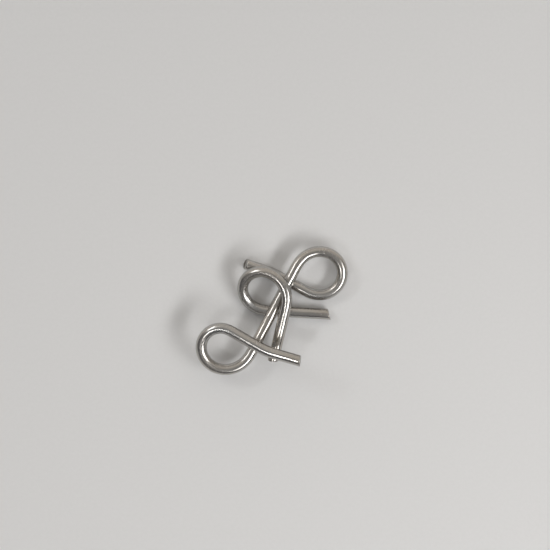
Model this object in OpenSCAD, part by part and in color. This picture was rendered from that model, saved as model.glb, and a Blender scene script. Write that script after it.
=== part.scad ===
// Wire disentanglement puzzle: two bent wires hooked through each other, lying on a table.
// Units are millimetres, +Z is up, and the origin is the middle of the footprint on the table.
// Each wire is drawn as a chain that starts at one point and is continued straight, bent or rolled,
// the way a wire is fed and turned in a bending jig.

/* [Wire] */
// diameter of the wire that both pieces are bent from
wire_d = 3.5; // [2.8:0.1:3.5]
// number of bends that make one eye
eye_bends = 6; // [6:1:10]

/* [Double loop wire] */
// length of straight shank from its middle to the upper eye
upper_shank = 16.6; // [14:0.1:18]
// bend radius where the upper eye starts
upper_start_radius = 8.8; // [8.4:0.1:9.6]
// bend radius halfway round the upper eye
upper_middle_radius = 6.9; // [6.6:0.1:7.4]
// bend radius where the upper eye ends
upper_end_radius = 7.8; // [7.4:0.1:8.6]
// angle that the wire turns through round the upper eye
upper_sweep = 270; // [250:1:282]
// roll round the whole upper eye, which makes it climb past the shank
upper_climb = 21; // [20:0.5:42]
// length of straight wire from the upper eye to the flare of its tail
upper_run = 11; // [8:0.1:14]
// angle that the upper tail flares back by
upper_flare = 10; // [4:1:20]
// length of the upper tail past its flare
upper_tail = 7.7; // [5:0.1:12]
// length of straight shank from its middle to the lower eye
lower_shank = 15.4; // [14:0.1:18]
// bend radius where the lower eye starts
lower_start_radius = 9.6; // [6:0.1:10]
// bend radius halfway round the lower eye
lower_middle_radius = 7.4; // [6:0.1:10]
// bend radius where the lower eye ends
lower_end_radius = 6; // [6:0.1:10]
// angle that the wire turns through round the lower eye
lower_sweep = 268; // [250:1:285]
// roll round the whole lower eye, which leaves the gap that lets the other wire out
lower_climb = 41.4; // [21:0.2:48]
// length of straight wire from the lower eye to the flare of its tail
lower_run = 10.8; // [8:0.1:14]
// angle that the lower tail flares back by
lower_flare = 14; // [4:1:20]
// length of the lower tail past its flare
lower_tail = 8.9; // [5:0.1:12]
// bend radius of both flares
flare_radius = 20; // [10:1:30]

/* [Single loop wire] */
// length of the straight leg before the eye
first_leg = 20.5; // [16:0.1:21]
// bend radius where the eye starts
single_start_radius = 8.3; // [8:0.1:8.8]
// bend radius halfway round the eye
single_middle_radius = 6.3; // [6.3:0.1:8]
// bend radius where the eye ends
single_end_radius = 10; // [9.8:0.1:11]
// angle that the wire turns through round the eye
single_sweep = 277; // [260:1:281]
// roll round the whole eye, which makes the second leg pass over the first
single_climb = -34.2; // [-48:0.2:-34]
// length of the straight leg after the eye
second_leg = 18.4; // [14:0.1:24]

/* [Hidden] */
// bend radii of each eye at its start, middle and end
upper_radii = [upper_start_radius, upper_middle_radius, upper_end_radius];
lower_radii = [lower_start_radius, lower_middle_radius, lower_end_radius];
single_radii = [single_start_radius, single_middle_radius, single_end_radius];
// where the middle of the shank is, and how it is turned, tilted and rolled
shank_middle = [0.27, -0.33, 5.37];
shank_yaw = 62.5;
shank_pitch = 1;
shank_roll = 186.1;
// where the free end of the first leg is, and how that leg is turned and rolled
leg_end = [18.39, -1.24, 1.75];
leg_yaw = 176.5;
leg_roll = 157.7;
half_turn = 180;
// how far the ball in each seam stands out of the wire
seam_proud = 0.01;
nickel = [0.80, 0.79, 0.77];
$fn = 48;

// bend radius of one bend of an eye, where the three given radii are its start, middle and end
function eye_radius(radii, i) =
    lookup((i + 0.5) / eye_bends, [[0, radii[0]], [0.5, radii[1]], [1, radii[2]]]);

// straight wire that starts at the origin and runs along +Z
module straight(length) {
    cylinder(d = wire_d, h = length);
}

// ball, a hair wider than the wire, that closes the seam where one length runs on into the next
module seam() {
    sphere(d = wire_d + 2 * seam_proud);
}

// straight wire that carries on from a bend
module straight_from_seam(length) {
    seam();
    straight(length);
}

// bent wire that starts at a seam at the origin, runs along +Z and turns toward +X
module bend(angle, radius) {
    seam();
    translate([radius, 0, 0])
        rotate([90, 0, 0])
            mirror([1, 0, 0])
                rotate_extrude(angle = angle)
                    translate([radius, 0]) circle(d = wire_d);
}

// places the next length of wire at the far end of a bend
module after_bend(angle, radius) {
    translate([radius, 0, 0])
        rotate([0, angle, 0])
            translate([-radius, 0, 0]) children();
}

// an eye, bent in steps that each roll a little, with the next length of wire at its end
module eye(radii, sweep, climb, i = 0) {
    if (i < eye_bends) {
        angle = sweep / eye_bends;
        radius = eye_radius(radii, i);
        bend(angle, radius);
        after_bend(angle, radius)
            rotate([0, 0, climb / eye_bends])
                eye(radii, sweep, climb, i + 1) children();
    } else {
        children();
    }
}

// the straight run and the flared tail that follow an eye of the double loop wire
module flared_tail(run, flare, tail) {
    straight_from_seam(run);
    translate([0, 0, run])
        rotate([0, 0, half_turn]) {
            bend(flare, flare_radius);
            after_bend(flare, flare_radius) straight_from_seam(tail);
        }
}

// turns a wire that starts along +Z so that it starts along a yaw and pitch, rolled about itself
module aim(yaw, pitch, roll) {
    rotate([0, 0, yaw])
        rotate([0, -pitch, 0])
            rotate([roll, 0, 0])
                rotate([90, 0, 90]) children();
}

// the wire with a straight shank, and an eye and a crossing tail at each end of it
module double_loop_wire() {
    color(nickel)
        translate(shank_middle)
            aim(shank_yaw, shank_pitch, shank_roll) {
                translate([0, 0, -lower_shank]) straight(lower_shank + upper_shank);
                translate([0, 0, upper_shank])
                    eye(upper_radii, upper_sweep, upper_climb)
                        flared_tail(upper_run, upper_flare, upper_tail);
                mirror([1, 0, 0])
                    rotate([half_turn, 0, 0])
                        translate([0, 0, lower_shank])
                            eye(lower_radii, lower_sweep, lower_climb)
                                flared_tail(lower_run, lower_flare, lower_tail);
            }
}

// the wire with one eye and two straight legs that cross
module single_loop_wire() {
    color(nickel)
        translate(leg_end)
            aim(leg_yaw, 0, leg_roll) {
                straight(first_leg);
                translate([0, 0, first_leg])
                    eye(single_radii, single_sweep, single_climb) straight_from_seam(second_leg);
            }
}

double_loop_wire();
single_loop_wire();
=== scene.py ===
import math
from collections import namedtuple

import bpy
import numpy as np
from mathutils import Euler, Matrix, Vector


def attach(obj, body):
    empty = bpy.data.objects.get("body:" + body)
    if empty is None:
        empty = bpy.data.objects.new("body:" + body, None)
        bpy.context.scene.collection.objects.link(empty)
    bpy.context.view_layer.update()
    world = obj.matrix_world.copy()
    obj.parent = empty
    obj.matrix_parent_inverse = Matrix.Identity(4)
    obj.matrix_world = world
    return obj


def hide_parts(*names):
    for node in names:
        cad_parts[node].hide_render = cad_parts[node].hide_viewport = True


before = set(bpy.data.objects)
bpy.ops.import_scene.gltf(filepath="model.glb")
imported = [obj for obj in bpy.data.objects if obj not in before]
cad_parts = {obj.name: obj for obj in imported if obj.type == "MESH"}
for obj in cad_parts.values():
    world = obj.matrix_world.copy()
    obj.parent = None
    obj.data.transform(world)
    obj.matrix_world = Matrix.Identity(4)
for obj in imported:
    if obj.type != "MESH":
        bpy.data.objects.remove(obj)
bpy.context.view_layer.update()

# ---------------------------------------------------------------- sizes, in millimetres and degrees
MM = 0.001
WIRE_RADIUS = 1.75
EYE_BENDS = 6
HALF_TURN = 180

# the wire with a straight shank, an eye at each end of it and a tail past each eye. A turn is its yaw,
# its pitch and its roll about itself
SHANK_MIDDLE = (0.27, -0.33, 5.37)
SHANK_TURN = (62.5, 1.0, 186.1)
UPPER_EYE = {"radii": (8.8, 6.9, 7.8), "sweep": 270, "climb": 21}
UPPER_TAIL = {"shank": 16.6, "run": 11, "flare": 10, "tail": 7.7}
LOWER_EYE = {"radii": (9.6, 7.4, 6.0), "sweep": 268, "climb": 41.4}
LOWER_TAIL = {"shank": 15.4, "run": 10.8, "flare": 14, "tail": 8.9}
FLARE_RADIUS = 20

# the wire with one eye and two straight legs
LEG_END = (18.39, -1.24, 1.75)
LEG_TURN = (176.5, 0.0, 157.7)
FIRST_LEG = 20.5
SINGLE_EYE = {"radii": (8.3, 6.3, 10.0), "sweep": 277, "climb": -34.2}
SECOND_LEG = 18.4

# how finely the wire is drawn, and how softly a straight length runs into a bend
TRACE_STEP = 0.1
RING_STEP = 0.3
SIDES = 56
BLEND_LENGTH = 1.1
# the smoothing looks this many blend lengths to each side
BLEND_REACH = 3

# a sheared end: its edge is rounded most where the blade came in, and on the far side it has a burr that
# stands up, flares out by a share of its height and stays close to that side
BLADE_ROUND = 0.42
BURR_ROUND = 0.12
BURR_LIP = 0.16
LIP_FLARE = 0.3
LIP_SHARPNESS = 6
EDGE_RINGS = 6
FACE_SHARES = (0.92, 0.7, 0.45, 0.2)
# the lean of a face dies away over this length of wire
LEAN_FADE = 2.5

# how far the face of each end leans, in degrees, and the side on which the wire is left longest
LOWER_TAIL_CUT = (5, (0, -1, 0))
UPPER_TAIL_CUT = (14, (0, 0, -1))
FIRST_LEG_CUT = (14, (0, -1, 0))
SECOND_LEG_CUT = (4, (-1, 0, 1))


# ---------------------------------------------------------------- paths of the wires
def bends_of_eye(radii, sweep, climb):
    """The steps of one eye. Its bend radius changes evenly from the first of the three radii to the last."""
    steps = []
    for i in range(EYE_BENDS):
        radius = float(np.interp((i + 0.5) / EYE_BENDS, (0, 0.5, 1), radii))
        steps += [("bend", sweep / EYE_BENDS, radius), ("roll", climb / EYE_BENDS)]
    return steps


def half_of_double_wire(eye, shank, run, flare, tail):
    """The steps from the middle of the shank out to a free end."""
    flared_tail = [("roll", HALF_TURN), ("bend", flare, FLARE_RADIUS), ("straight", tail)]
    return [("straight", shank)] + bends_of_eye(**eye) + [("straight", run)] + flared_tail


def trace(steps):
    """Follows the steps from the origin along +Z, bending toward +X, and returns the points on the way."""
    place = Matrix.Identity(4)
    points = [Vector((0, 0, 0))]
    for kind, amount, *rest in steps:
        if kind == "roll":
            place = place @ Matrix.Rotation(math.radians(amount), 4, "Z")
            continue
        radius = rest[0] if rest else None
        angle = math.radians(amount) if radius else None
        length = radius * angle if radius else amount
        count = max(2, round(length / TRACE_STEP))
        for i in range(1, count + 1):
            if radius:
                part = angle * i / count
                local = Vector((radius - radius * math.cos(part), 0, radius * math.sin(part)))
            else:
                local = Vector((0, 0, length * i / count))
            points.append(place @ local)
        turn = Matrix.Rotation(angle, 4, "Y") if radius else Matrix.Identity(4)
        place = place @ Matrix.Translation(local) @ turn
    return np.array(points)


def aim(points, start, turn):
    """Turns a traced path so that it starts at a point along a yaw and pitch, rolled about itself."""
    yaw, pitch, roll = (math.radians(a) for a in turn)
    lay_down = Matrix(((0, 0, 1), (1, 0, 0), (0, 1, 0)))
    rotation = Matrix.Rotation(yaw, 3, "Z") @ Matrix.Rotation(-pitch, 3, "Y") @ Matrix.Rotation(roll, 3, "X")
    return points @ np.array(rotation @ lay_down).T + np.array(start)


def soften(points):
    """Smooths the path a little, because a real wire eases into each bend. Its ends stay where they are."""
    reach = round(BLEND_REACH * BLEND_LENGTH / TRACE_STEP)
    offsets = np.arange(-reach, reach + 1) * TRACE_STEP
    weights = np.exp(-0.5 * (offsets / BLEND_LENGTH) ** 2)
    weights /= weights.sum()
    before = 2 * points[0] - points[reach:0:-1]
    after = 2 * points[-1] - points[-2:-reach - 2:-1]
    padded = np.vstack([before, points, after])
    return np.column_stack([np.convolve(padded[:, k], weights, "valid") for k in range(3)])


def even_rings(points):
    """Points at even spacing along the path, and how far along the wire each one is."""
    along = np.r_[0, np.cumsum(np.linalg.norm(np.diff(points, axis=0), axis=1))]
    places = np.linspace(0, along[-1], round(along[-1] / RING_STEP) + 1)
    return np.column_stack([np.interp(places, along, points[:, k]) for k in range(3)]), places


def carried_frames(points):
    """A direction along the wire and two across it at each point, carried along with no twist."""
    ahead = np.gradient(points, axis=0)
    ahead /= np.linalg.norm(ahead, axis=1)[:, None]
    side = np.cross(ahead[0], (0, 0, 1))
    sides = []
    for direction in ahead:
        side = side - direction * (side @ direction)
        side /= np.linalg.norm(side)
        sides.append(side)
    sides = np.array(sides)
    return ahead, sides, np.cross(ahead, sides)


# ---------------------------------------------------------------- the mesh of a wire
# an end of a wire: its place in the path, the way out of it, the slope of its face, and where each point
# round it lies, counted toward the burr and beside it
End = namedtuple("End", "place out slope on_cut")

# a ring of points round the wire: its place in the path, how far each point lies from the middle of the
# wire and is moved along it, where each point lies on the cut, and whether the ring belongs to the face
Ring = namedtuple("Ring", "place radius shift on_cut is_face")


def sheared_ends(last, side, up, around, cuts):
    """The first and the last end of a wire, cut as the two cuts say."""
    ends = []
    for place, out, (lean, longest) in zip((0, last), (-1, 1), cuts):
        burr = np.array([side[place] @ longest, up[place] @ longest])
        burr /= np.linalg.norm(burr)
        on_cut = np.column_stack([around @ burr, around @ (-burr[1], burr[0])])
        ends.append(End(place, out, math.tan(math.radians(lean)), on_cut))
    return ends


def lean_at(place, along, ends):
    """How far the points of a ring are moved along the wire, so that the face of the nearer end leans."""
    shift = np.zeros(SIDES)
    for end in ends:
        fade = max(0.0, 1 - abs(along[place] - along[end.place]) / LEAN_FADE)
        shift += fade * end.out * end.slope * WIRE_RADIUS * end.on_cut[:, 0]
    return shift


def rings_of_end(end, lean):
    """The rings of one end, from its rounded edge to the middle of its face."""
    toward_burr = end.on_cut[:, 0]
    rounding = np.interp(toward_burr, (-1, 1), (BLADE_ROUND, BURR_ROUND))
    lip = BURR_LIP * np.clip(toward_burr, 0, 1) ** LIP_SHARPNESS
    rings = []
    for k in range(1, EDGE_RINGS + 1):
        turn = math.pi / 2 * k / EDGE_RINGS
        radius = WIRE_RADIUS - rounding * (1 - math.cos(turn)) + LIP_FLARE * lip * math.sin(turn)
        shift = lean + end.out * ((rounding + lip) * math.sin(turn) - rounding)
        rings.append(Ring(end.place, radius, shift, end.on_cut, k == EDGE_RINGS))
    for share in FACE_SHARES:
        rings.append(Ring(end.place, (WIRE_RADIUS - rounding) * share, lean * share, end.on_cut, True))
    return rings


def rings_of_wire(along, ends):
    """All the rings of a wire in order, from the middle of its first face to the middle of its last."""
    first_rings, last_rings = (rings_of_end(end, lean_at(end.place, along, ends)) for end in ends)
    round_wire = np.full(SIDES, WIRE_RADIUS)
    off_the_cut = np.zeros((SIDES, 2))
    rings = first_rings[::-1]
    for place, distance in enumerate(along):
        if BLADE_ROUND < distance < along[-1] - BLADE_ROUND:
            rings.append(Ring(place, round_wire, lean_at(place, along, ends), off_the_cut, False))
    return rings + last_rings


def wire_mesh(name, path, cuts):
    """A round wire along the path, with its first and its last end sheared off as the two cuts say."""
    points, along = even_rings(soften(path))
    ahead, side, up = carried_frames(points)
    angle = np.arange(SIDES) * 2 * math.pi / SIDES
    around = np.column_stack([np.cos(angle), np.sin(angle)])
    rings = rings_of_wire(along, sheared_ends(len(points) - 1, side, up, around, cuts))

    verts, on_wire, on_face = [], [], []
    for place, radius, shift, on_cut, _ in rings:
        outward = around[:, :1] * side[place] + around[:, 1:] * up[place]
        verts.extend(points[place] + outward * radius[:, None] + ahead[place] * shift[:, None])
        on_wire.extend(np.column_stack([around * radius[:, None], along[place] + shift]))
        on_face.extend(np.column_stack([on_cut * radius[:, None], np.zeros(SIDES)]))

    faces, is_cut = [], []
    for k in range(len(rings) - 1):
        for j in range(SIDES):
            n = (j + 1) % SIDES
            faces.append((k * SIDES + j, k * SIDES + n, (k + 1) * SIDES + n, (k + 1) * SIDES + j))
            is_cut.append(rings[k].is_face and rings[k + 1].is_face)
    faces += [list(range(SIDES))[::-1], list(range(len(verts) - SIDES, len(verts)))]
    is_cut += [True, True]

    mesh = bpy.data.meshes.new(name)
    mesh.from_pydata([Vector(v) * MM for v in verts], [], faces)
    mesh.polygons.foreach_set("use_smooth", [True] * len(faces))
    mesh.polygons.foreach_set("material_index", [int(cut) for cut in is_cut])
    for attribute, values in (("place_on_wire", on_wire), ("place_on_cut", on_face)):
        layer = mesh.attributes.new(attribute, "FLOAT_VECTOR", "POINT")
        layer.data.foreach_set("vector", (np.array(values) * MM).ravel())
    mesh.validate()
    mesh.update()
    return mesh


# ---------------------------------------------------------------- materials
NEUTRAL_PLATE = (0.53, 0.525, 0.515)
WARM_PLATE = (0.57, 0.535, 0.49)
DULL_PLATE = (0.40, 0.39, 0.375)
SCRAPED_PLATE = (0.75, 0.74, 0.72)
# the darkest and the palest of each
BURNISHED_STEEL = ((0.40, 0.39, 0.37), (0.66, 0.65, 0.62))
TORN_STEEL = ((0.10, 0.095, 0.09), (0.42, 0.40, 0.37))
PALE_BOARD = ((0.78, 0.785, 0.79), (0.82, 0.825, 0.83))
# the tint of what a bare metal mirrors at a glancing angle
GLANCING_TINT = (0.7, 0.7, 0.7, 1)


# In the functions that add nodes, owner is the material, the light or the world that the nodes belong to.
def add_node(owner, kind, **values):
    node = owner.node_tree.nodes.new(kind)
    for key, value in values.items():
        setattr(node, key, value)
    return node


def connect(owner, output, target):
    owner.node_tree.links.new(output, target)


def noise(owner, place, stretch, scale, detail, turn=(0, 0, 0)):
    """Noise over a place, turned by degrees. A small stretch draws the pattern out along its axis."""
    mapping = add_node(owner, "ShaderNodeMapping")
    mapping.inputs["Rotation"].default_value = Euler([math.radians(a) for a in turn])
    mapping.inputs["Scale"].default_value = stretch
    connect(owner, place, mapping.inputs["Vector"])
    texture = add_node(owner, "ShaderNodeTexNoise")
    texture.inputs["Scale"].default_value = scale
    texture.inputs["Detail"].default_value = detail
    connect(owner, mapping.outputs["Vector"], texture.inputs["Vector"])
    return texture.outputs["Fac"]


def rescale(owner, value, low, high, to_low, to_high):
    """Takes the stretch of a value from low to high onto to_low to to_high."""
    node = add_node(owner, "ShaderNodeMapRange")
    for key, number in zip(("From Min", "From Max", "To Min", "To Max"), (low, high, to_low, to_high)):
        node.inputs[key].default_value = number
    connect(owner, value, node.inputs["Value"])
    return node.outputs["Result"]


def combine(owner, operation, a, b):
    node = add_node(owner, "ShaderNodeMath", operation=operation)
    connect(owner, a, node.inputs[0])
    if isinstance(b, (int, float)):
        node.inputs[1].default_value = b
    else:
        connect(owner, b, node.inputs[1])
    return node.outputs["Value"]


def blend_colours(owner, factor, a, b):
    node = add_node(owner, "ShaderNodeMix", data_type="RGBA")
    connect(owner, factor, node.inputs["Factor"])
    for socket, colour in ((node.inputs["A"], a), (node.inputs["B"], b)):
        if isinstance(colour, tuple):
            socket.default_value = (*colour, 1)
        else:
            connect(owner, colour, socket)
    return node.outputs["Result"]


def layered_bump(owner, reliefs):
    """The surface that several reliefs make one over another. Each relief is a height and its depth."""
    normal = None
    for height, depth in reliefs:
        node = add_node(owner, "ShaderNodeBump")
        node.inputs["Strength"].default_value = 1.0
        node.inputs["Distance"].default_value = depth
        connect(owner, height, node.inputs["Height"])
        if normal:
            connect(owner, normal, node.inputs["Normal"])
        normal = node.outputs["Normal"]
    return normal


def new_metal(name, attribute):
    """A bare metal, and the place on the wire that its patterns follow, read from a mesh attribute."""
    material = bpy.data.materials.new(name)
    material.use_nodes = True
    shader = material.node_tree.nodes["Principled BSDF"]
    shader.inputs["Metallic"].default_value = 1.0
    shader.inputs["Specular Tint"].default_value = GLANCING_TINT
    place = add_node(material, "ShaderNodeAttribute", attribute_name=attribute).outputs["Vector"]
    return material, shader, place


def nickel_plate():
    """Bright nickel over drawn wire, with fine lines along it, handling scratches and smudges."""
    material, shader, place = new_metal("nickel_plate", "place_on_wire")

    # slow waves that the plating follows, which make the reflections wander
    waves = noise(material, place, (1, 1, 0.3), 330, 2)
    # lines that the drawing die left along the wire
    die_lines = noise(material, place, (1, 1, 0.012), 5200, 4)
    # the grain of the plating
    grain = noise(material, place, (1, 1, 1), 9000, 2)
    # two sets of thin scratches that cross the wire
    scratches = None
    for turn in ((18, 12, 35), (-26, 31, -20)):
        lines = noise(material, place, (1, 0.03, 1), 3600, 3, turn)
        thin = rescale(material, lines, 0.655, 0.70, 0, 1)
        scratches = thin if scratches is None else combine(material, "MAXIMUM", scratches, thin)
    where = rescale(material, noise(material, place, (1, 1, 1), 380, 2), 0.42, 0.62, 0, 1)
    scratches = combine(material, "MULTIPLY", scratches, where)

    # colour: neutral plate, warmer where it is thin, duller in the smudges
    smudge = rescale(material, noise(material, place, (1, 1, 0.5), 260, 5), 0.38, 0.68, 0, 1)
    warm = rescale(material, noise(material, place, (1, 1, 0.4), 130, 3), 0.35, 0.65, 0, 1)
    plate = blend_colours(material, warm, NEUTRAL_PLATE, WARM_PLATE)
    haze = combine(material, "MULTIPLY", smudge, 0.35)
    tone = blend_colours(material, haze, plate, DULL_PLATE)
    shine = combine(material, "MULTIPLY", scratches, 0.25)
    tone = blend_colours(material, shine, tone, SCRAPED_PLATE)
    connect(material, tone, shader.inputs["Base Color"])

    # roughness: bright on the whole, softer in smudges, scratches and along the die lines
    rough = rescale(material, smudge, 0, 1, 0.17, 0.28)
    rough = combine(material, "ADD", rough, rescale(material, die_lines, 0.3, 0.7, -0.02, 0.05))
    rough = combine(material, "ADD", rough, combine(material, "MULTIPLY", scratches, 0.18))
    connect(material, rough, shader.inputs["Roughness"])

    # relief, one layer over another, each with its depth
    grooves = combine(material, "MULTIPLY", scratches, -1)
    reliefs = ((waves, 0.22 * MM), (die_lines, 0.006 * MM), (grain, 0.0012 * MM), (grooves, 0.006 * MM))
    connect(material, layered_bump(material, reliefs), shader.inputs["Normal"])
    return material


def cut_steel():
    """A sheared end: burnished where the blade slid past, and torn, darker and pitted toward the burr."""
    material, shader, place = new_metal("cut_steel", "place_on_cut")
    axes = add_node(material, "ShaderNodeSeparateXYZ")
    connect(material, place, axes.inputs["Vector"])
    ragged = rescale(material, noise(material, place, (1, 1, 1), 1500, 4), 0.3, 0.7, -0.0005, 0.0005)
    torn = rescale(material, combine(material, "ADD", axes.outputs["X"], ragged), -0.0001, 0.0001, 0, 1)
    drag = noise(material, place, (0.05, 1, 1), 7000, 3)
    pits = noise(material, place, (1, 1, 1), 4200, 5)

    burnished_tone = blend_colours(material, drag, *BURNISHED_STEEL)
    torn_tone = blend_colours(material, pits, *TORN_STEEL)
    tone = blend_colours(material, torn, burnished_tone, torn_tone)
    connect(material, tone, shader.inputs["Base Color"])

    rough = rescale(material, torn, 0, 1, 0.24, 0.48)
    rough = combine(material, "ADD", rough, rescale(material, pits, 0.3, 0.7, -0.04, 0.10))
    connect(material, rough, shader.inputs["Roughness"])

    step_down = combine(material, "MULTIPLY", torn, -1)
    torn_pits = combine(material, "MULTIPLY", pits, torn)
    reliefs = ((step_down, 0.08 * MM), (torn_pits, 0.22 * MM), (drag, 0.02 * MM))
    connect(material, layered_bump(material, reliefs), shader.inputs["Normal"])
    return material


def pale_floor():
    """A plain pale matt board, with only enough grain to look like a surface."""
    material = bpy.data.materials.new("pale_board")
    material.use_nodes = True
    shader = material.node_tree.nodes["Principled BSDF"]
    place = add_node(material, "ShaderNodeTexCoord").outputs["Object"]
    grain = noise(material, place, (1, 1, 1), 900, 4)
    tone = blend_colours(material, grain, *PALE_BOARD)
    connect(material, tone, shader.inputs["Base Color"])
    connect(material, rescale(material, grain, 0, 1, 0.65, 0.8), shader.inputs["Roughness"])
    connect(material, layered_bump(material, ((grain, 0.03 * MM),)), shader.inputs["Normal"])
    return material


# ---------------------------------------------------------------- pieces
NICKEL = nickel_plate()
CUT = cut_steel()


def add_to_scene(name, data):
    """A new object with this data, in the scene."""
    thing = bpy.data.objects.new(name, data)
    bpy.context.scene.collection.objects.link(thing)
    return thing


def add_piece(name, node, path, cuts):
    mesh = wire_mesh(name, path, cuts)
    mesh.materials.append(NICKEL)
    mesh.materials.append(CUT)
    piece = add_to_scene(name, mesh)
    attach(piece, node)
    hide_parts(node)


upper_half = aim(trace(half_of_double_wire(UPPER_EYE, **UPPER_TAIL)), (0, 0, 0), SHANK_TURN)
lower_half = -aim(trace(half_of_double_wire(LOWER_EYE, **LOWER_TAIL)), (0, 0, 0), SHANK_TURN)
double_path = np.vstack([lower_half[:0:-1], upper_half]) + np.array(SHANK_MIDDLE)
single_steps = [("straight", FIRST_LEG)] + bends_of_eye(**SINGLE_EYE) + [("straight", SECOND_LEG)]
single_path = aim(trace(single_steps), LEG_END, LEG_TURN)

double_cuts = (LOWER_TAIL_CUT, UPPER_TAIL_CUT)
single_cuts = (FIRST_LEG_CUT, SECOND_LEG_CUT)
add_piece("plated_double_loop_wire", "double_loop_wire", double_path, double_cuts)
add_piece("plated_single_loop_wire", "single_loop_wire", single_path, single_cuts)


# ---------------------------------------------------------------- floor, light and camera, in metres
FLOOR_HALF = 1.5

LIGHT_DISTANCE = 0.8
WARM_LIGHT = (1.0, 0.99, 0.98)
COOL_LIGHT = (0.98, 0.99, 1.0)
# a light grows from nothing at its edges to full this far in, as a share of its width
EDGE_FADE = 0.42
# it then gives less than an even light, so it is turned up by this much
GLOW_GAIN = 2.0

ROOM_LOW = (0.10, 0.10, 0.105)
ROOM_OVERHEAD = (0.29, 0.282, 0.272)
ROOM_BACK = (0.60, 0.56, 0.51)
# the room turns from low to overhead between these two values of a direction's Z
RISE_OVERHEAD = (0.25, 1.0)
# and into its back between these two values of its Y
REACH_BACK = (0.0, 0.55)

# the camera looks straight down, with the object a little below and left of the middle
VIEW_WIDTH = 0.1771
VIEW_MIDDLE = Vector((0.00098, 0.01136, 0))
CAMERA_HEIGHT = 0.9
# the sensor is in millimetres, as camera lenses are
SENSOR_WIDTH = 36


def add_floor():
    corners = [(x * FLOOR_HALF, y * FLOOR_HALF, 0) for x, y in ((-1, -1), (1, -1), (1, 1), (-1, 1))]
    mesh = bpy.data.meshes.new("floor")
    mesh.from_pydata(corners, [], [(0, 1, 2, 3)])
    mesh.materials.append(pale_floor())
    return add_to_scene("floor", mesh)


def fade_to_edges(lamp):
    """Makes a rectangular light fade out softly toward its edges, as a diffused lamp does."""
    lamp.use_nodes = True
    emission = lamp.node_tree.nodes["Emission"]
    axes = add_node(lamp, "ShaderNodeSeparateXYZ")
    connect(lamp, add_node(lamp, "ShaderNodeNewGeometry").outputs["Parametric"], axes.inputs["Vector"])
    glow = None
    for axis in ("X", "Y"):
        # 0 at both edges and a half in the middle
        across = combine(lamp, "PINGPONG", axes.outputs[axis], 0.5)
        rise = add_node(lamp, "ShaderNodeMapRange", interpolation_type="SMOOTHSTEP")
        rise.inputs["From Max"].default_value = EDGE_FADE
        connect(lamp, across, rise.inputs["Value"])
        level = rise.outputs["Result"]
        glow = level if glow is None else combine(lamp, "MULTIPLY", glow, level)
    connect(lamp, combine(lamp, "MULTIPLY", glow, GLOW_GAIN), emission.inputs["Strength"])


def softbox(name, azimuth, elevation, size, power, colour):
    """A rectangular light that faces the object. Its azimuth, from +X, and its elevation are in degrees."""
    a = math.radians(azimuth)
    e = math.radians(elevation)
    toward = Vector((math.cos(a) * math.cos(e), math.sin(a) * math.cos(e), math.sin(e)))
    lamp = bpy.data.lights.new(name, "AREA")
    lamp.shape = "RECTANGLE"
    lamp.size, lamp.size_y = size
    lamp.energy = power
    lamp.color = colour
    fade_to_edges(lamp)
    light = add_to_scene(name, lamp)
    light.location = toward * LIGHT_DISTANCE
    light.rotation_euler = toward.to_track_quat("Z", "Y").to_euler()


def studio_world():
    """A room that is dark low down, grey overhead, and brighter and warmer toward +Y."""
    world = bpy.data.worlds.new("studio")
    world.use_nodes = True
    background = world.node_tree.nodes["Background"]
    direction = add_node(world, "ShaderNodeTexCoord").outputs["Generated"]
    axes = add_node(world, "ShaderNodeSeparateXYZ")
    connect(world, direction, axes.inputs["Vector"])
    overhead = rescale(world, axes.outputs["Z"], *RISE_OVERHEAD, 0, 1)
    tone = blend_colours(world, overhead, ROOM_LOW, ROOM_OVERHEAD)
    toward_back = rescale(world, axes.outputs["Y"], *REACH_BACK, 0, 1)
    tone = blend_colours(world, toward_back, tone, ROOM_BACK)
    connect(world, tone, background.inputs["Color"])
    bpy.context.scene.world = world


def add_camera():
    lens_camera = bpy.data.cameras.new("camera")
    lens_camera.sensor_width = SENSOR_WIDTH
    lens_camera.lens = SENSOR_WIDTH * CAMERA_HEIGHT / VIEW_WIDTH
    camera = add_to_scene("camera", lens_camera)
    camera.location = VIEW_MIDDLE + Vector((0, 0, CAMERA_HEIGHT))
    bpy.context.scene.camera = camera


floor = add_floor()
softbox("key", -34, 43, (1.0, 0.22), 4.6, WARM_LIGHT)
softbox("front", -126, 57, (0.22, 0.12), 0.7, WARM_LIGHT)
softbox("side", 148, 40, (0.4, 0.14), 0.9, COOL_LIGHT)
studio_world()
add_camera()
bpy.context.scene.view_settings.view_transform = "Standard"
